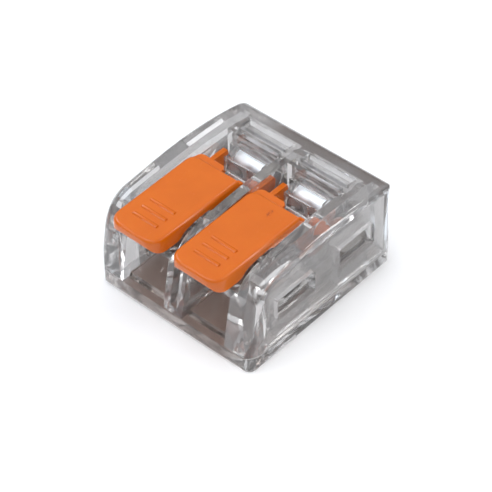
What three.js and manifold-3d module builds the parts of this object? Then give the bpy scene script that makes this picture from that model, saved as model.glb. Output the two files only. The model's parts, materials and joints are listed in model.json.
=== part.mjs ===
// Two-pole lever wire connector: clear snap-together housing, two orange clamping levers,
// two spring clamps and one shared bus bar.
// Millimetres, +Z up, +X across the levers, +Y from the wire entries to the back.
// Origin: middle of the underside.
import * as THREE from 'three';
import { mergeVertices } from 'three/addons/utils/BufferGeometryUtils.js';
import Module from 'manifold-3d';

const wasm = await Module();
wasm.setup();

// ---- driving dimensions (Y is measured back from the front of the wire entries, Z up from the
// level of the cover's inner floor line; the outer form reaches a little ahead and below) ----
const DEPTH = 19.41;           // front to back
const WIDTH = 17.81;           // across the levers
const FRONT_LEAD = 0.405;      // outer form ahead of Y = 0
const UNDERSIDE = -0.18;       // Z of the flat underside
const PITCH = 6.92;            // lever to lever
const POLES = [['left', -PITCH / 2], ['right', PITCH / 2]];
const FAR = 30;                // cutters run this far past the body
const SINK = 0.2;              // joined shapes run this far into each other
const GAP = 0.06;              // between fixed pieces that lie side by side

// outer form, seen from the side, measured from its own front foot
const FRONT_SHOULDER = [1.02, 6.27];
const FRONT_CROWN = [3.55, 9.1];
const PEAK = [10.85, 9.69];
const REAR_SHOULDER = [18.2, 8.93];
const REAR_EDGE_Z = 7.4;
const FRONT_FOOT_Y = 0.12;     // the front face leans back from here
const BULGE = { front: [1.57, 8.7], top: [7.51, 9.61], back: [15.03, 9.66], rearZ: 8.65 };
const BOTTOM_ROUND = 1.05;
const SIDE_ROUND = 0.65;       // rounding between side faces and top or bottom
const CORNER_R = 1.7;          // upright corners, seen from above
const SIDE_DRAFT = 0.022;      // share of the half width lost over the height
const BODY_HEIGHT = 9.7;

// base cover
const SEAM_LOW = 1.44;         // top of the cover's rim
const SEAM_HIGH = 1.56;        // bottom of the housing's wall
const SILL_TOP = 2.0;          // floor of the wire entries
const PAD_TOP = 1.9;           // pads that carry the bus bar
const PAD_HALF = 2.2;
const SILL = { front: 0.75, foot: 0.55, back: 4.4, step: 1.5 };

// pole interior, half widths from each pole's centre line
const WELL_HALF = 2.98;        // slot the lever lies in
const WELL_FLOOR = 7.3;
const FUNNEL_HALF = 2.4;
const FUNNEL_BACK = 4.6;
const FUNNEL_TOP = 6.6;
const CONDUCTOR_HALF = 1.65;   // neck behind the funnel
const CONDUCTOR_TOP = 4.7;
const CHAMBER_HALF = 2.75;     // room for the spring
const CHAMBER_FRONT = 6.0;
const CHAMBER_BACK = 17.3;
const CHAMBER_TOP = 6.6;
const REAR_ROOF_UNDERSIDE = 7.65;
const HUB_FRONT = 8.0;         // open recess behind the lever plate
const DECK_FRONT = 14.1;
const SLOT_HALF_LENGTH = 2.6;  // test slot and marking recess in the rear deck
const TEST_SLOT = { front: 14.5, back: 14.85, low: 5 };
const RECESS = { front: 15.35, back: 16.65, low: 8.25 };

// clear collar in front of each spring: cut-corner walls that stand out from the rear deck.
// Seen from the side its crest stays under the swing of the lever's ledge and its foot over the
// spring's loop.
const COLLAR = { front: 11.75, half: 2.06, wall: 0.4, corner: 0.75, miter: 0.15 };
const COLLAR_CREST = [
  [13.3, 7.9], [13.15, 7.45], [12.6, 7.45], [12.45, 7.85], [12.15, 8.25], [11.85, 8.5], [10, 8.5],
];
const COLLAR_FOOT = [[10, 6.9], [13.05, 6.9], [13.95, 7.55]];

// groove down the front of the middle partition
const GROOVE_HALF = 0.38;
const GROOVE_FOOT = [[0.4, 2.3], [1.3, 3.0], [1.9, 12]];

// side pockets between outer wall and pole wall, and the latch windows in the outer wall
const HUB_FLOOR = 4.2;
const POCKET = { inner: 6.85, outer: 7.7, front: 2.3, back: 17.6, top: 8.0 };
const WINDOWS = [
  { front: 3.3, back: 8.1, low: 3.85, high: 6.15 },
  { front: 11.3, back: 15.9, low: 3.78, high: 6.2 },
];
const WINDOW_CORNER = 0.25;
const LATCH = { clear: 0.35, hook: 0.6, lip: 0.12, catch: 0.75, shoulder: 0.5, tip: 0.35 };

// lever
const PIVOT = { y: 10.9, z: 7.0 };
const LEVER_HALF = 2.68;
const PLATE_REAR = 9.3;
const PLATE_TOP = 9.7;         // at Y = 0
const PLATE_UNDERSIDE = 9.0;
const PLATE_SLOPE = 1.0;       // degrees, rising to the back
const PLATE_ROUND = 0.34;
const NOSE = { front: -1.2, bottom: 8.12, keel: 0.4, back: 1.45, lip: 9.2, corner: 1.5 };
const THROAT = { back: 4.4, bend: 3.0, knee: [2.3, 8.55], front: 2.0 };   // hollow under the plate
const HEEL_CORNER = 1.0;       // rounded rear left corner of the plate
const LEDGE = { left: -2.66, right: 0.3, back: 10.3, low: 8.75, high: 9.2, corner: 0.5 };
const GRIP_RIDGES = [0.65, 1.7, 2.75];
const RIDGE = { half: 1.35, r: 0.24, sunk: 0.12 };
const ARM = [   // y, z
  [5.2, 9.2], [6.6, 8.3], [8.2, 7.6], [9.0, 6.0], [11.5, 7.7], [10.4, 7.85], [9.8, 8.4],
  [9.8, 9.2], [9.0, 9.4],
];
const DISC_FLAT = { front: 9.8, z: 7.85 };     // flat on each disc behind the arm
const DISC_R = 2.45;
const DISC_THICK = 0.5;
const TRUNNION_R = 0.8;
const TRUNNION_TIP = 3.3;      // from the pole's centre line
const TRUNNION_CLEARANCE = 0.07;
const LIFT_PEG = { y: -1.0, z: -0.6, r: 0.3, inner: 1.0 };   // offset from the pivot

// spring clamp
const SPRING_HALF = 1.75;
const SPRING_GAUGE = 0.3;
const LOOP = { y: 14.5, z: 6.2, r: 1.1 };
const LEG_HINGE = { y: LOOP.y - LOOP.r, z: LOOP.z };
const LEG_TIP = { y: 9.0, z: 2.95, bend: 0.35 };
const LEG_KNEE = { y: -0.35, z: -0.75 };   // offset from the hinge
const SPRING_FOOT = { front: 10.6, bend: 0.6 };
const LOOP_END = 172;          // degrees round the loop to its free end
const EAR = { inner: 1.1, outer: 1.4 };
const EAR_HOOK = [   // y, z from the hinge
  [-2.95, -2.25], [-2.55, -1.95], [-2.55, 1.0], [-4.15, 1.0], [-4.15, 0.64], [-2.95, 0.64],
];

// bus bar
const BAR = { half: 6.1, front: 7.6, back: 16.55, low: 1.95, high: 2.55, upright: 5.4 };
const BAR_GAUGE = 0.6;
const BAR_GAP = { half: 0.9, above: 0.7 };   // between the two uprights
const RIB = { half: 1.6, profile: [[8.35, 2.4], [9.15, 2.4], [8.95, 2.68], [8.55, 2.68]] };

// ---- colours ----
const CLEAR = { color: 0xd9dcdd, roughness: 0.06, metalness: 0.0, transparent: true, opacity: 0.38 };
const ORANGE = { color: 0xe8641c, roughness: 0.34, metalness: 0.0 };
const STEEL = { color: 0xc3c5c8, roughness: 0.26, metalness: 1.0 };
const TINNED = { color: 0xb9b4ab, roughness: 0.32, metalness: 1.0 };

// ---- solid helpers ----
function solid(geometry) {
  const g = geometry.clone();
  g.deleteAttribute('normal');
  g.deleteAttribute('uv');
  const welded = mergeVertices(g, 1e-5);
  return new wasm.Manifold(new wasm.Mesh({
    numProp: 3,
    vertProperties: new Float32Array(welded.attributes.position.array),
    triVerts: new Uint32Array(welded.index.array),
  }));
}

function box(x0, x1, y0, y1, z0, z1) {
  const g = new THREE.BoxGeometry(x1 - x0, y1 - y0, z1 - z0);
  g.translate((x0 + x1) / 2, (y0 + y1) / 2, (z0 + z1) / 2);
  return solid(g);
}

function outline(points) {
  return new THREE.Shape(points.map(([a, b]) => new THREE.Vector2(a, b)));
}

// a (y, z) outline carried along X
function alongX(shape, x0, x1, round = 0, steps = 3) {
  const g = new THREE.ExtrudeGeometry(shape, {
    depth: x1 - x0 - 2 * round,
    bevelEnabled: round > 0,
    bevelThickness: round,
    bevelSize: round,
    bevelOffset: -round,
    bevelSegments: steps,
    curveSegments: 8,
  });
  g.translate(0, 0, x0 + round);
  g.applyMatrix4(new THREE.Matrix4().makeBasis(
    new THREE.Vector3(0, 1, 0), new THREE.Vector3(0, 0, 1), new THREE.Vector3(1, 0, 0)));
  return solid(g);
}

// an (x, y) outline carried along Z
function alongZ(shape, z0, z1, round = 0, steps = 3) {
  const g = new THREE.ExtrudeGeometry(shape, {
    depth: z1 - z0 - 2 * round,
    bevelEnabled: round > 0,
    bevelThickness: round,
    bevelSize: round,
    bevelOffset: -round,
    bevelSegments: steps,
    curveSegments: 6,
  });
  g.translate(0, 0, z0 + round);
  return solid(g);
}

function rodX(y, z, r, x0, x1, sides = 28) {
  const g = new THREE.CylinderGeometry(r, r, x1 - x0, sides);
  g.rotateZ(Math.PI / 2);
  g.translate((x0 + x1) / 2, y, z);
  return solid(g);
}

function roundedRect(x0, x1, y0, y1, r) {
  const s = new THREE.Shape();
  s.moveTo(x0 + r, y0);
  s.lineTo(x1 - r, y0);
  s.absarc(x1 - r, y0 + r, r, -Math.PI / 2, 0, false);
  s.lineTo(x1, y1 - r);
  s.absarc(x1 - r, y1 - r, r, 0, Math.PI / 2, false);
  s.lineTo(x0 + r, y1);
  s.absarc(x0 + r, y1 - r, r, Math.PI / 2, Math.PI, false);
  s.lineTo(x0, y0 + r);
  s.absarc(x0 + r, y0 + r, r, Math.PI, Math.PI * 1.5, false);
  return s;
}

// a strip of constant gauge that follows a (y, z) centre line
function strip(path, gauge, x0, x1) {
  const left = [];
  const right = [];
  path.forEach(([y, z], i) => {
    const [ya, za] = path[Math.max(i - 1, 0)];
    const [yb, zb] = path[Math.min(i + 1, path.length - 1)];
    const before = new THREE.Vector2(y - ya, z - za).normalize();
    const after = new THREE.Vector2(yb - y, zb - z).normalize();
    const along = before.clone().add(after).normalize();
    const turn = Math.max(before.length() && after.length() ? before.dot(after) : 1, -0.5);
    const reach = gauge / 2 / Math.sqrt((1 + turn) / 2);
    left.push([y - along.y * reach, z + along.x * reach]);
    right.push([y + along.y * reach, z - along.x * reach]);
  });
  return alongX(outline([...right, ...left.reverse()]), x0, x1);
}

function arc(y, z, r, from, to, steps) {
  return Array.from({ length: steps + 1 }, (_, i) => {
    const a = THREE.MathUtils.degToRad(from + ((to - from) * i) / steps);
    return [y + r * Math.cos(a), z + r * Math.sin(a)];
  });
}

// ---- the body's outer form, shared by housing and cover ----
function outerForm() {
  const side = new THREE.Shape();
  const b = BOTTOM_ROUND;
  side.moveTo(b, 0);
  side.quadraticCurveTo(0, 0, FRONT_FOOT_Y, b);
  side.lineTo(...FRONT_SHOULDER);
  side.quadraticCurveTo(...BULGE.front, ...FRONT_CROWN);
  side.quadraticCurveTo(...BULGE.top, ...PEAK);
  side.quadraticCurveTo(...BULGE.back, ...REAR_SHOULDER);
  side.quadraticCurveTo(DEPTH, BULGE.rearZ, DEPTH, REAR_EDGE_Z);
  side.lineTo(DEPTH, b);
  side.quadraticCurveTo(DEPTH, 0, DEPTH - b, 0);
  const half = WIDTH / 2;
  const bar = alongX(side, -half, half, SIDE_ROUND, 5);
  const plan = alongZ(roundedRect(-half, half, 0, DEPTH, CORNER_R), -1, BODY_HEIGHT + 2);
  return bar.intersect(plan).warp((v) => { v[0] *= 1 - (SIDE_DRAFT * v[2]) / BODY_HEIGHT; })
    .translate([0, -FRONT_LEAD, UNDERSIDE]);
}

function collar(cx) {
  const { front, half, wall, corner, miter } = COLLAR;
  const back = DECK_FRONT + SINK;
  const inner = half - wall;
  const turn = corner + miter;
  const walls = alongZ(outline([
    [cx - half, back], [cx - half, front + corner], [cx - half + corner, front],
    [cx + half - corner, front], [cx + half, front + corner], [cx + half, back],
    [cx + inner, back], [cx + inner, front + turn], [cx + half - turn, front + wall],
    [cx - half + turn, front + wall], [cx - inner, front + turn], [cx - inner, back],
  ]), 0, FAR);
  const profile = [
    ...COLLAR_FOOT, [FAR, COLLAR_FOOT.at(-1)[1]], [FAR, COLLAR_CREST[0][1]], ...COLLAR_CREST,
  ];
  return walls.intersect(alongX(outline(profile), cx - half - 1, cx + half + 1));
}

function housingShell() {
  let body = outerForm().intersect(box(-FAR, FAR, -FAR, FAR, SEAM_HIGH, FAR));
  const bottom = SEAM_HIGH - 1;
  for (const [, cx] of POLES) {
    const cuts = [
      box(cx - FUNNEL_HALF, cx + FUNNEL_HALF, -FAR, FUNNEL_BACK, bottom, FUNNEL_TOP),
      box(cx - CONDUCTOR_HALF, cx + CONDUCTOR_HALF, 0, CHAMBER_FRONT + 1, bottom, CONDUCTOR_TOP),
      box(cx - CHAMBER_HALF, cx + CHAMBER_HALF, CHAMBER_FRONT, CHAMBER_BACK, bottom, CHAMBER_TOP),
      box(cx - CHAMBER_HALF, cx + CHAMBER_HALF, DECK_FRONT - 1, CHAMBER_BACK, bottom,
        REAR_ROOF_UNDERSIDE),
      box(cx - WELL_HALF, cx + WELL_HALF, -FAR, HUB_FRONT + 1, WELL_FLOOR, FAR),
      box(cx - WELL_HALF, cx + WELL_HALF, HUB_FRONT, DECK_FRONT, HUB_FLOOR, FAR),
      box(cx - SLOT_HALF_LENGTH, cx + SLOT_HALF_LENGTH, TEST_SLOT.front, TEST_SLOT.back,
        TEST_SLOT.low, FAR),
      box(cx - SLOT_HALF_LENGTH, cx + SLOT_HALF_LENGTH, RECESS.front, RECESS.back,
        RECESS.low, FAR),
    ];
    for (const cut of cuts) body = body.subtract(cut);
    body = body.add(collar(cx));
  }
  // bearing holes: blind into the side pockets, through the middle partition
  const hole = TRUNNION_R + TRUNNION_CLEARANCE;
  body = body.subtract(rodX(PIVOT.y, PIVOT.z, hole, -POCKET.inner - 0.3, POCKET.inner + 0.3));
  // the bus bar crosses under the partition
  body = body.subtract(box(-2, 2, BAR.front - 0.2, BAR.back + 0.2, bottom, BAR.high + 0.2));
  body = body.subtract(box(-2, 2, BAR.back - 0.8, BAR.back + 0.2, bottom, BAR.upright + 0.2));
  // the partition's groove ends in a sloped foot
  body = body.subtract(alongX(outline([[-2, 1.9], ...GROOVE_FOOT, [-2, 12]]),
    -GROOVE_HALF, GROOVE_HALF));
  for (const side of [-1, 1]) {
    const lo = Math.min(side * POCKET.inner, side * POCKET.outer);
    const hi = Math.max(side * POCKET.inner, side * POCKET.outer);
    body = body.subtract(box(lo, hi, POCKET.front, POCKET.back, bottom, POCKET.top));
    for (const w of WINDOWS) {
      const outer = side * WIDTH;
      const frame = roundedRect(w.front, w.back, w.low, w.high, WINDOW_CORNER);
      const from = side * (POCKET.outer - 0.2);
      body = body.subtract(alongX(frame, Math.min(from, outer), Math.max(from, outer)));
    }
  }
  return body;
}

// snap hook that rises in the side pocket and catches in a latch window
function latch(side, w) {
  const { clear, lip } = LATCH;
  const hook = POCKET.outer + LATCH.hook;
  const inner = POCKET.inner + 0.1;
  const outer = POCKET.outer - 0.1;
  const profile = [
    [inner, SEAM_LOW - SINK], [outer, SEAM_LOW - SINK], [outer, w.low + lip],
    [hook, w.low + lip], [hook, w.low + LATCH.catch], [outer, w.high - LATCH.shoulder],
    [inner, w.high - LATCH.tip],
  ].map(([x, z]) => [side * x, z]);
  if (side < 0) profile.reverse();
  const g = new THREE.ExtrudeGeometry(outline(profile), {
    depth: w.back - w.front - 2 * clear, bevelEnabled: false,
  });
  // outline x stays x, outline y becomes z, depth runs along -y
  g.applyMatrix4(new THREE.Matrix4().makeBasis(
    new THREE.Vector3(1, 0, 0), new THREE.Vector3(0, 0, 1), new THREE.Vector3(0, -1, 0)));
  g.translate(0, w.back - clear, 0);
  return solid(g);
}

function baseCover() {
  let cover = outerForm().intersect(box(-FAR, FAR, -FAR, FAR, -FAR, SEAM_LOW));
  for (const side of [-1, 1]) {
    for (const w of WINDOWS) cover = cover.add(latch(side, w));
  }
  for (const [, cx] of POLES) {
    cover = cover.add(box(cx - PAD_HALF, cx + PAD_HALF, BAR.front + 0.4, BAR.back - 0.4,
      SEAM_LOW - SINK, PAD_TOP));
    // raised sill of each wire entry
    cover = cover.add(alongX(outline([
      [SILL.foot, SEAM_LOW - SINK], [SILL.back, SEAM_LOW - SINK], [SILL.back, SILL_TOP],
      [SILL.front, SILL_TOP], [SILL.foot, SILL.step],
    ]), cx - FUNNEL_HALF + GAP, cx + FUNNEL_HALF - GAP));
  }
  return cover;
}

function lever(cx) {
  const half = LEVER_HALF;
  const top = PLATE_TOP + 1;
  // thumb plate with its deep rounded nose, in side view
  const side = new THREE.Shape();
  side.moveTo(NOSE.keel, NOSE.bottom);
  side.quadraticCurveTo(NOSE.front, NOSE.bottom, NOSE.front, NOSE.lip);
  side.lineTo(NOSE.front, top);
  side.lineTo(PLATE_REAR, top);
  side.lineTo(PLATE_REAR, PLATE_UNDERSIDE + 0.1);
  side.lineTo(THROAT.back, PLATE_UNDERSIDE);
  side.quadraticCurveTo(THROAT.bend, PLATE_UNDERSIDE - 0.1, ...THROAT.knee);
  side.quadraticCurveTo(THROAT.front, NOSE.bottom, NOSE.back, NOSE.bottom);
  // the same plate from above; its upper edges are rounded and its top slopes down to the tip
  const plan = new THREE.Shape();
  const tip = NOSE.front - 0.04;
  const nose = NOSE.corner;
  const heel = HEEL_CORNER;
  plan.moveTo(-half + nose, tip);
  plan.lineTo(half - nose, tip);
  plan.quadraticCurveTo(half, tip, half, tip + nose);
  plan.lineTo(half, PLATE_REAR);
  plan.lineTo(-half + heel, PLATE_REAR);
  plan.quadraticCurveTo(-half, PLATE_REAR, -half, PLATE_REAR - heel);
  plan.lineTo(-half, tip + nose);
  plan.quadraticCurveTo(-half, tip, -half + nose, tip);
  const block = alongZ(plan, -4, 0, PLATE_ROUND, 4).rotate([PLATE_SLOPE, 0, 0])
    .translate([cx, 0, PLATE_TOP]);
  let body = alongX(side, cx - half - 1, cx + half + 1).intersect(block);
  // stepped ledge low behind the plate's rear edge
  const ledge = roundedRect(cx + LEDGE.left, cx + LEDGE.right, PLATE_REAR - 1, LEDGE.back,
    LEDGE.corner);
  body = body.add(alongZ(ledge, LEDGE.low, LEDGE.high));
  // thumb grip ridges
  for (const y of GRIP_RIDGES) {
    const z = PLATE_TOP + y * Math.tan(THREE.MathUtils.degToRad(PLATE_SLOPE));
    body = body.add(rodX(y, z - RIDGE.sunk, RIDGE.r, cx - RIDGE.half, cx + RIDGE.half, 12));
  }
  // arms down to the bearing discs
  for (const s of [-1, 1]) {
    const a = cx + s * (half - DISC_THICK);
    const b = cx + s * half;
    const x0 = Math.min(a, b);
    const x1 = Math.max(a, b);
    const disc = rodX(PIVOT.y, PIVOT.z, DISC_R, x0, x1, 40)
      .subtract(box(x0 - 1, x1 + 1, DISC_FLAT.front, FAR, DISC_FLAT.z, FAR));
    body = body.add(alongX(outline(ARM), x0, x1)).add(disc);
    const end = cx + s * TRUNNION_TIP;
    body = body.add(rodX(PIVOT.y, PIVOT.z, TRUNNION_R, Math.min(a, end), Math.max(a, end), 28));
    const peg = cx + s * LIFT_PEG.inner;
    body = body.add(rodX(PIVOT.y + LIFT_PEG.y, PIVOT.z + LIFT_PEG.z, LIFT_PEG.r,
      Math.min(a, peg), Math.max(a, peg), 16));
  }
  return body;
}

function spring(cx) {
  const rise = LOOP.y + LOOP.r;
  const foot = BAR.high + GAP + SPRING_GAUGE / 2;
  const { front, bend } = SPRING_FOOT;
  const path = [
    [front, foot],
    ...arc(rise - bend, foot + bend, bend, 270, 360, 5),
    ...arc(LOOP.y, LOOP.z, LOOP.r, 0, LOOP_END, 14),
  ];
  return strip(path, SPRING_GAUGE, cx - SPRING_HALF, cx + SPRING_HALF);
}

function clampLeg(cx) {
  const h = LEG_HINGE;
  const path = [
    [h.y + 0.02, h.z - 0.1], [h.y + LEG_KNEE.y, h.z + LEG_KNEE.z],
    [LEG_TIP.y + LEG_TIP.bend, LEG_TIP.z + LEG_TIP.bend], [LEG_TIP.y, LEG_TIP.z - 0.05],
  ];
  let leg = strip(path, SPRING_GAUGE, cx - SPRING_HALF, cx + SPRING_HALF);
  // ears hooked over the lever's lifting pegs
  for (const s of [-1, 1]) {
    const a = cx + s * EAR.inner;
    const b = cx + s * EAR.outer;
    const ear = outline(EAR_HOOK.map(([y, z]) => [h.y + y, h.z + z]));
    leg = leg.add(alongX(ear, Math.min(a, b), Math.max(a, b)));
  }
  return leg;
}

function busBar() {
  let bar = alongX(outline([
    [BAR.front, BAR.low], [BAR.back, BAR.low], [BAR.back, BAR.upright],
    [BAR.back - BAR_GAUGE, BAR.upright], [BAR.back - BAR_GAUGE, BAR.high],
    [BAR.front + 0.25, BAR.high],
    [BAR.front, BAR.low + 0.3],
  ]), -BAR.half, BAR.half);
  // raised contact rib in front of each spring foot, and a gap between the uprights
  for (const [, cx] of POLES) {
    bar = bar.add(alongX(outline(RIB.profile), cx - RIB.half, cx + RIB.half));
  }
  return bar.subtract(box(-BAR_GAP.half, BAR_GAP.half, BAR.back - 1, BAR.back + 1,
    BAR.high + BAR_GAP.above, FAR));
}

// ---- assembly ----
const group = new THREE.Group();
group.name = 'lever_wire_connector';

function node(name, body, look) {
  const mesh = body.getMesh();
  const g = new THREE.BufferGeometry();
  g.setAttribute('position', new THREE.BufferAttribute(new Float32Array(mesh.vertProperties), 3));
  g.setIndex(new THREE.BufferAttribute(new Uint32Array(mesh.triVerts), 1));
  g.translate(0, FRONT_LEAD - DEPTH / 2, -UNDERSIDE);
  g.computeVertexNormals();
  const part = new THREE.Mesh(g, new THREE.MeshStandardMaterial({ ...look, flatShading: true }));
  part.name = name;
  group.add(part);
}

node('housing_shell', housingShell(), CLEAR);
node('base_cover', baseCover(), CLEAR);
for (const [name, cx] of POLES) {
  node(`lever_${name}`, lever(cx), ORANGE);
  node(`spring_${name}`, spring(cx), STEEL);
  node(`clamp_leg_${name}`, clampLeg(cx), STEEL);
}
node('bus_bar', busBar(), TINNED);

export default group;
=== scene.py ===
import json
import math

import bmesh
import bpy
from mathutils import Matrix, Vector


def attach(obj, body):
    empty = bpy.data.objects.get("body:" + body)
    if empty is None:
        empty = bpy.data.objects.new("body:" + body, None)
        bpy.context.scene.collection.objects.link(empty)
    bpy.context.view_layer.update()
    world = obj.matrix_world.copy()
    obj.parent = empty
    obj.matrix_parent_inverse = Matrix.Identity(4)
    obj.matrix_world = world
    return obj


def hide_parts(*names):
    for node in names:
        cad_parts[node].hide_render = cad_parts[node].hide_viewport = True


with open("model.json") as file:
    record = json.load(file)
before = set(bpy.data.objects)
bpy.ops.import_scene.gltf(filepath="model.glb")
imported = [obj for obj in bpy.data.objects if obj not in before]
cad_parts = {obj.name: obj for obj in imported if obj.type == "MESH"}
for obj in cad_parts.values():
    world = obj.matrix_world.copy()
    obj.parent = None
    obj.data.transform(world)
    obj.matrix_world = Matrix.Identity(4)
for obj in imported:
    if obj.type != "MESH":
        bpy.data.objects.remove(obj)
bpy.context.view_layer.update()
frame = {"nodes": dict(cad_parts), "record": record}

MM = 0.001
SIDES = ("left", "right")

# clear plastic: tint, the painted brown shade in the middle of the cover (darkening that stands in for the
# shaded inside seen through it), and how much lamp light it lets through
CLEAR_TINT = (0.65, 0.64, 0.635)
PAINTED_SHADE_TINT = (0.40, 0.33, 0.30)
PAINTED_SHADE_HALF = (5.6 * MM, 6.9 * MM)   # the painted shade fades out between these half widths
LAMP_LIGHT_THROUGH = (0.80, 0.79, 0.785)
POLYCARBONATE_IOR = 1.58

# orange plastic: rubbed mark, deep and light tone
ORANGE_TONES = ((0.0, (0.36, 0.06, 0.003)), (0.3, (0.58, 0.117, 0.002)), (1.0, (0.63, 0.132, 0.003)))

# the rubbed mark on top of the right lever, near its heel
SCUFF_AT = (3.9 * MM, -1.35 * MM)
SCUFF_RADII = (0.3 * MM, 0.75 * MM)

# width of the rounded edges of each moulding or pressing
SHELL_EDGE = 0.08 * MM
COVER_EDGE = 0.08 * MM
LEVER_EDGE = 0.06 * MM
STRIP_EDGE = 0.03 * MM
BAR_EDGE = 0.05 * MM
WELD = 0.002 * MM
FLAT_ANGLE = math.radians(1.0)     # faces closer than this are merged
BEVEL_ANGLE = math.radians(28)     # edges sharper than this are rounded
SHARP_ANGLE = math.radians(48)     # edges sharper than this stay crisp

# ---------------------------------------------------------------- materials


class Look:
    """A node material built step by step around one Principled shader."""

    def __init__(self, name):
        self.mat = bpy.data.materials.new(name)
        self.mat.use_nodes = True
        self.nodes = self.mat.node_tree.nodes
        self.links = self.mat.node_tree.links
        self.shader = self.nodes["Principled BSDF"]
        self.out = self.nodes["Material Output"]
        self.coords = self.nodes.new("ShaderNodeTexCoord")

    def set(self, **values):
        for key, value in values.items():
            self.shader.inputs[key.replace("_", " ")].default_value = value
        return self

    def place(self, scale=(1, 1, 1)):
        node = self.nodes.new("ShaderNodeMapping")
        node.inputs["Scale"].default_value = scale
        self.links.new(self.coords.outputs["Object"], node.inputs["Vector"])
        return node.outputs["Vector"]

    def noise(self, scale, detail=3.0, roughness=0.5, stretch=(1, 1, 1)):
        node = self.nodes.new("ShaderNodeTexNoise")
        node.inputs["Scale"].default_value = scale
        node.inputs["Detail"].default_value = detail
        node.inputs["Roughness"].default_value = roughness
        self.links.new(self.place(stretch), node.inputs["Vector"])
        return node.outputs["Fac"]

    def ramp(self, value, *stops):
        node = self.nodes.new("ShaderNodeValToRGB")
        elements = node.color_ramp.elements
        while len(elements) < len(stops):
            elements.new(0.5)
        for element, (at, colour) in zip(elements, stops):
            element.position = at
            element.color = colour if len(colour) == 4 else (*colour, 1.0)
        self.links.new(value, node.inputs["Fac"])
        return node.outputs["Color"]

    def span(self, value, low, high, start=0.0, end=1.0):
        node = self.nodes.new("ShaderNodeMapRange")
        node.inputs["From Min"].default_value = start
        node.inputs["From Max"].default_value = end
        node.inputs["To Min"].default_value = low
        node.inputs["To Max"].default_value = high
        self.links.new(value, node.inputs["Value"])
        return node.outputs["Result"]

    def math(self, operation, a, b):
        node = self.nodes.new("ShaderNodeMath")
        node.operation = operation
        for socket, value in zip(node.inputs, (a, b)):
            if isinstance(value, (int, float)):
                socket.default_value = value
            else:
                self.links.new(value, socket)
        return node.outputs["Value"]

    def spot(self, centre, radii, soft=0.5):
        """1 inside an upright ellipse around centre, fading to 0 over the outer part of its radii."""
        node = self.nodes.new("ShaderNodeMapping")
        scale = [1 / radii[0], 1 / radii[1], 0.0]
        node.inputs["Scale"].default_value = scale
        node.inputs["Location"].default_value = [-c * k for c, k in zip((*centre, 0.0), scale)]
        self.links.new(self.coords.outputs["Object"], node.inputs["Vector"])
        length = self.nodes.new("ShaderNodeVectorMath")
        length.operation = "LENGTH"
        self.links.new(node.outputs["Vector"], length.inputs[0])
        return self.span(length.outputs["Value"], 1.0, 0.0, 1.0 - soft, 1.0)

    def bump(self, height, strength, distance):
        node = self.nodes.new("ShaderNodeBump")
        node.inputs["Strength"].default_value = strength
        node.inputs["Distance"].default_value = distance
        self.links.new(height, node.inputs["Height"])
        old = self.shader.inputs["Normal"]
        if old.is_linked:
            self.links.new(old.links[0].from_socket, node.inputs["Normal"])
        self.links.new(node.outputs["Normal"], old)
        return self

    def feed(self, key, value):
        self.links.new(value, self.shader.inputs[key])
        return self


def clear_plastic(name, painted_shade=None):
    """Clear polycarbonate with faint haze and flow marks; lamps still reach what is inside.

    With a painted-shade colour the plastic between the side walls is tinted darker brown: painted shade
    that stands in for the dark inside seen through the cover, not a colour of the plastic itself.
    """
    look = Look(name)
    look.set(Base_Color=(*CLEAR_TINT, 1.0), Transmission_Weight=0.95, IOR=POLYCARBONATE_IOR)
    # painted shade: between the side walls the cover's colour is darkened to brown, standing in for the
    # shade seen through it
    if painted_shade:
        axes = look.nodes.new("ShaderNodeSeparateXYZ")
        look.links.new(look.coords.outputs["Object"], axes.inputs[0])
        across = look.math("ABSOLUTE", axes.outputs["X"], 0.0)
        inside = look.span(across, low=1.0, high=0.0, start=PAINTED_SHADE_HALF[0], end=PAINTED_SHADE_HALF[1])
        look.feed("Base Color", look.ramp(inside, (0.0, CLEAR_TINT), (1.0, painted_shade)))
    haze = look.noise(260.0, detail=4.0, roughness=0.6)
    scuffs = look.noise(1400.0, detail=2.0, roughness=0.7, stretch=(1, 0.15, 1))
    look.feed("Roughness", look.span(
        look.math("MULTIPLY", haze, scuffs), low=0.01, high=0.10, start=0.12, end=0.5))
    look.bump(look.noise(420.0, detail=2.0, roughness=0.4), strength=0.08, distance=0.06 * MM)
    flow_marks = look.noise(1300.0, detail=2.0, roughness=0.5, stretch=(1, 1, 0.3))
    look.bump(flow_marks, strength=0.12, distance=0.03 * MM)
    clear = look.nodes.new("ShaderNodeBsdfTransparent")
    clear.inputs["Color"].default_value = (*LAMP_LIGHT_THROUGH, 1.0)
    path = look.nodes.new("ShaderNodeLightPath")
    mix = look.nodes.new("ShaderNodeMixShader")
    look.links.new(path.outputs["Is Shadow Ray"], mix.inputs[0])
    look.links.new(look.shader.outputs[0], mix.inputs[1])
    look.links.new(clear.outputs[0], mix.inputs[2])
    look.links.new(mix.outputs[0], look.out.inputs["Surface"])
    return look.mat


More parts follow.
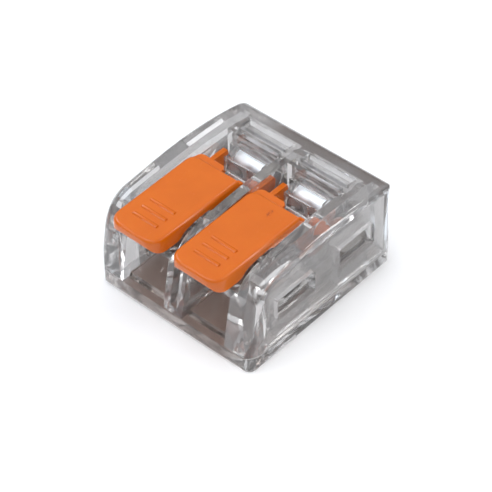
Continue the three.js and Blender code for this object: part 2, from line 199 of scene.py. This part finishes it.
def orange_plastic():
    """Satin moulded plastic with a fine grain, rubbed patches and one scuff."""
    look = Look("orange_lever_plastic")
    look.set(IOR=1.5, Specular_IOR_Level=0.36, Coat_Weight=0.06, Coat_Roughness=0.12)
    look.set(Subsurface_Weight=0.12, Subsurface_Scale=0.5 * MM)
    look.set(Subsurface_Radius=(1.0, 0.35, 0.12))
    mottle = look.noise(300.0, detail=3.0, roughness=0.55)
    scratches = look.span(look.noise(5200.0, detail=3.0, roughness=0.7), 0.0, 1.0, start=0.42, end=0.58)
    scuff = look.math("MULTIPLY", look.spot(SCUFF_AT, SCUFF_RADII, soft=0.8), scratches)
    tone = look.math("SUBTRACT", look.span(mottle, low=0.3, high=1.0, start=0.3, end=0.7), scuff)
    look.feed("Base Color", look.ramp(tone, *ORANGE_TONES))
    grain = look.noise(9000.0, detail=2.0, roughness=0.6)
    rubbed = look.noise(700.0, detail=4.0, roughness=0.6, stretch=(1, 0.3, 1))
    look.feed("Roughness", look.span(
        look.math("ADD", grain, rubbed), low=0.14, high=0.30, start=0.6, end=1.4))
    look.bump(grain, strength=0.25, distance=0.02 * MM)
    look.bump(rubbed, strength=0.12, distance=0.03 * MM)
    look.bump(scuff, strength=-0.4, distance=0.05 * MM)
    return look.mat


def spring_steel():
    """Bright strip, rolled along its length."""
    look = Look("spring_steel")
    look.set(Metallic=1.0, Anisotropic=0.5)
    rolled = look.noise(2600.0, detail=3.0, roughness=0.6, stretch=(1, 0.03, 0.03))
    look.feed("Roughness", look.span(rolled, low=0.38, high=0.58, start=0.3, end=0.7))
    look.feed("Base Color", look.ramp(
        look.noise(500.0), (0.3, (0.70, 0.72, 0.75)), (0.7, (0.82, 0.84, 0.87))))
    look.bump(rolled, strength=0.15, distance=0.01 * MM)
    return look.mat


def tinned_copper():
    """Cloudy tin with a little copper showing through."""
    look = Look("tinned_copper")
    look.set(Metallic=1.0)
    cloud = look.noise(420.0, detail=5.0, roughness=0.6)
    look.feed("Base Color", look.ramp(
        cloud, (0.25, (0.50, 0.46, 0.40)), (0.6, (0.62, 0.60, 0.56)), (0.8, (0.70, 0.69, 0.66))))
    look.feed("Roughness", look.span(cloud, low=0.22, high=0.42, start=0.3, end=0.7))
    look.bump(look.noise(3200.0, detail=2.0), strength=0.12, distance=0.01 * MM)
    return look.mat


SHELL_LOOK = clear_plastic("clear_housing")
# the cover carries the painted brown shade in its middle
COVER_LOOK = clear_plastic("clear_cover", painted_shade=PAINTED_SHADE_TINT)
LEVER_LOOK = orange_plastic()
SPRING_LOOK = spring_steel()
BAR_LOOK = tinned_copper()

# ---------------------------------------------------------------- shapes


def body_of(node):
    bodies = frame["record"]["behaviour"]["bodies"]
    return next(body for body, nodes in bodies.items() if node in nodes)


def moulded(node, name, look, edge, segments=2):
    """A clean rounded-edge copy of a CAD node: welded, flats merged, edges bevelled and shaded smooth."""
    source = frame["nodes"][node]
    bm = bmesh.new()
    bm.from_mesh(source.data)
    bmesh.ops.remove_doubles(bm, verts=bm.verts, dist=WELD)
    bmesh.ops.dissolve_limit(bm, angle_limit=FLAT_ANGLE, verts=bm.verts, edges=bm.edges)
    mesh = bpy.data.meshes.new(name)
    bm.to_mesh(mesh)
    bm.free()
    for polygon in mesh.polygons:
        polygon.use_smooth = True
    piece = bpy.data.objects.new(name, mesh)
    bpy.context.scene.collection.objects.link(piece)
    mesh.materials.append(look)
    bevel = piece.modifiers.new("rounded_edges", "BEVEL")
    bevel.width = edge
    bevel.segments = segments
    bevel.limit_method = "ANGLE"
    bevel.angle_limit = BEVEL_ANGLE
    bevel.use_clamp_overlap = True
    bevel.harden_normals = True
    mesh.set_sharp_from_angle(angle=SHARP_ANGLE)
    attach(piece, body_of(node))
    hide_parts(node)
    return piece


moulded("housing_shell", "housing_clear", SHELL_LOOK, SHELL_EDGE)
moulded("base_cover", "cover_clear", COVER_LOOK, COVER_EDGE)
for side in SIDES:
    moulded(f"lever_{side}", f"lever_{side}_moulded", LEVER_LOOK, LEVER_EDGE)
    moulded(f"spring_{side}", f"spring_{side}_strip", SPRING_LOOK, STRIP_EDGE)
    moulded(f"clamp_leg_{side}", f"clamp_leg_{side}_strip", SPRING_LOOK, STRIP_EDGE)
moulded("bus_bar", "bus_bar_plated", BAR_LOOK, BAR_EDGE)

# ---------------------------------------------------------------- floor, light, camera

FLOOR_HALF = 0.6
FLOOR_GAP = 0.02 * MM

bm = bmesh.new()
bmesh.ops.create_grid(bm, x_segments=8, y_segments=8, size=FLOOR_HALF)
floor_mesh = bpy.data.meshes.new("floor")
bm.to_mesh(floor_mesh)
bm.free()
floor = bpy.data.objects.new("floor", floor_mesh)
bpy.context.scene.collection.objects.link(floor)
floor_look = Look("pale_floor")
floor_look.set(Roughness=0.7, Specular_IOR_Level=0.2)
floor_look.feed("Base Color", floor_look.ramp(
    floor_look.noise(30.0), (0.3, (0.97, 0.97, 0.97)), (0.7, (0.98, 0.98, 0.98))))
floor_mesh.materials.append(floor_look.mat)
floor.location.z = -FLOOR_GAP

# sky brightness by height: dark at the horizon, bright overhead, a trace of blue
SKY_STOPS = ((0.0, 0.03), (0.15, 0.08), (0.42, 0.55), (0.75, 1.0))
SKY_TINT = (0.985, 1.0, 1.035)
SKY_STRENGTH = 0.96

world = bpy.data.worlds.new("studio")
world.use_nodes = True
bpy.context.scene.world = world
sky = world.node_tree
background = sky.nodes["Background"]
coords = sky.nodes.new("ShaderNodeTexCoord")
split = sky.nodes.new("ShaderNodeSeparateXYZ")
shade = sky.nodes.new("ShaderNodeValToRGB")
sky.links.new(coords.outputs["Generated"], split.inputs[0])
sky.links.new(split.outputs["Z"], shade.inputs["Fac"])
sky.links.new(shade.outputs["Color"], background.inputs["Color"])
while len(shade.color_ramp.elements) < len(SKY_STOPS):
    shade.color_ramp.elements.new(0.5)
for element, (at, brightness) in zip(shade.color_ramp.elements, SKY_STOPS):
    element.position = at
    element.color = (*(brightness * tint for tint in SKY_TINT), 1.0)
background.inputs["Strength"].default_value = SKY_STRENGTH

LAMP_DISTANCE = 0.14
LAMP_AIM = Vector((0, 0, 4 * MM))
WHITE = (1, 1, 1)
DAYLIGHT = (0.72, 0.86, 1.0)
# name, direction, size, watts, colour
SOFTBOXES = (
    ("overhead_front", (-0.25, -0.75, 1.5), (0.09, 0.06), 0.035, WHITE),
    ("left_rear_fill", (-1.0, -0.15, 0.9), (0.08, 0.05), 0.035, DAYLIGHT),
    ("edge_right", (0.72, 0.55, 0.5), (0.02, 0.08), 0.045, WHITE),
    ("edge_front", (-0.5, -0.7, 0.55), (0.014, 0.06), 0.011, WHITE),
)
# small bright lamps all round that show up as glints in the clear facets
GLINT_AZIMUTHS = (10, 70, 190, 250, 310)
GLINT_RISE = 0.95
GLINT_SIZE = (0.014, 0.014)
GLINT_WATTS = 0.0085


def softbox(name, direction, size, power, colour=WHITE):
    data = bpy.data.lights.new(name, "AREA")
    data.shape = "RECTANGLE"
    data.size, data.size_y = size
    data.energy = power
    data.color = colour
    lamp = bpy.data.objects.new(name, data)
    bpy.context.scene.collection.objects.link(lamp)
    towards = Vector(direction).normalized()
    lamp.location = LAMP_AIM + towards * LAMP_DISTANCE
    lamp.rotation_euler = towards.to_track_quat("Z", "Y").to_euler()


for box in SOFTBOXES:
    softbox(*box)
for azimuth in GLINT_AZIMUTHS:
    turn = math.radians(azimuth)
    softbox(f"glint_{azimuth}", (math.cos(turn), math.sin(turn), GLINT_RISE), GLINT_SIZE, GLINT_WATTS)

# camera: a long lens, looking down over the front right corner
CAM_AZIMUTH = math.radians(42.2904)
CAM_ELEVATION = math.radians(44.0141)
CAM_ROLL = math.radians(-0.7799)
CAM_DISTANCE = 178.31 * MM
CAM_AIM = Vector((0, 0, 4.33 * MM))
CAM_OFFSET = (0.0479 * MM, 1.1389 * MM)
SENSOR = 36.0
LENS = 150.9
CLIP_START = 10 * MM

back = Vector((math.sin(CAM_AZIMUTH) * math.cos(CAM_ELEVATION),
               -math.cos(CAM_AZIMUTH) * math.cos(CAM_ELEVATION), math.sin(CAM_ELEVATION)))
right0 = Vector((math.cos(CAM_AZIMUTH), math.sin(CAM_AZIMUTH), 0))
up0 = back.cross(right0)
right = right0 * math.cos(CAM_ROLL) + up0 * math.sin(CAM_ROLL)
up = -right0 * math.sin(CAM_ROLL) + up0 * math.cos(CAM_ROLL)
camera_data = bpy.data.cameras.new("camera")
camera_data.sensor_width = SENSOR
camera_data.lens = LENS
camera_data.clip_start = CLIP_START
camera = bpy.data.objects.new("camera", camera_data)
bpy.context.scene.collection.objects.link(camera)
eye = CAM_AIM - right * CAM_OFFSET[0] - up * CAM_OFFSET[1] + back * CAM_DISTANCE
camera.matrix_world = Matrix((
    (right.x, up.x, back.x, eye.x), (right.y, up.y, back.y, eye.y),
    (right.z, up.z, back.z, eye.z), (0, 0, 0, 1)))
bpy.context.scene.camera = camera

# clear walls inside clear walls need long light paths
scene = bpy.context.scene
scene.view_settings.view_transform = "Standard"
scene.cycles.max_bounces = 32
scene.cycles.transmission_bounces = 28
scene.cycles.transparent_max_bounces = 32
scene.cycles.glossy_bounces = 12
scene.cycles.diffuse_bounces = 5
scene.cycles.blur_glossy = 0.3
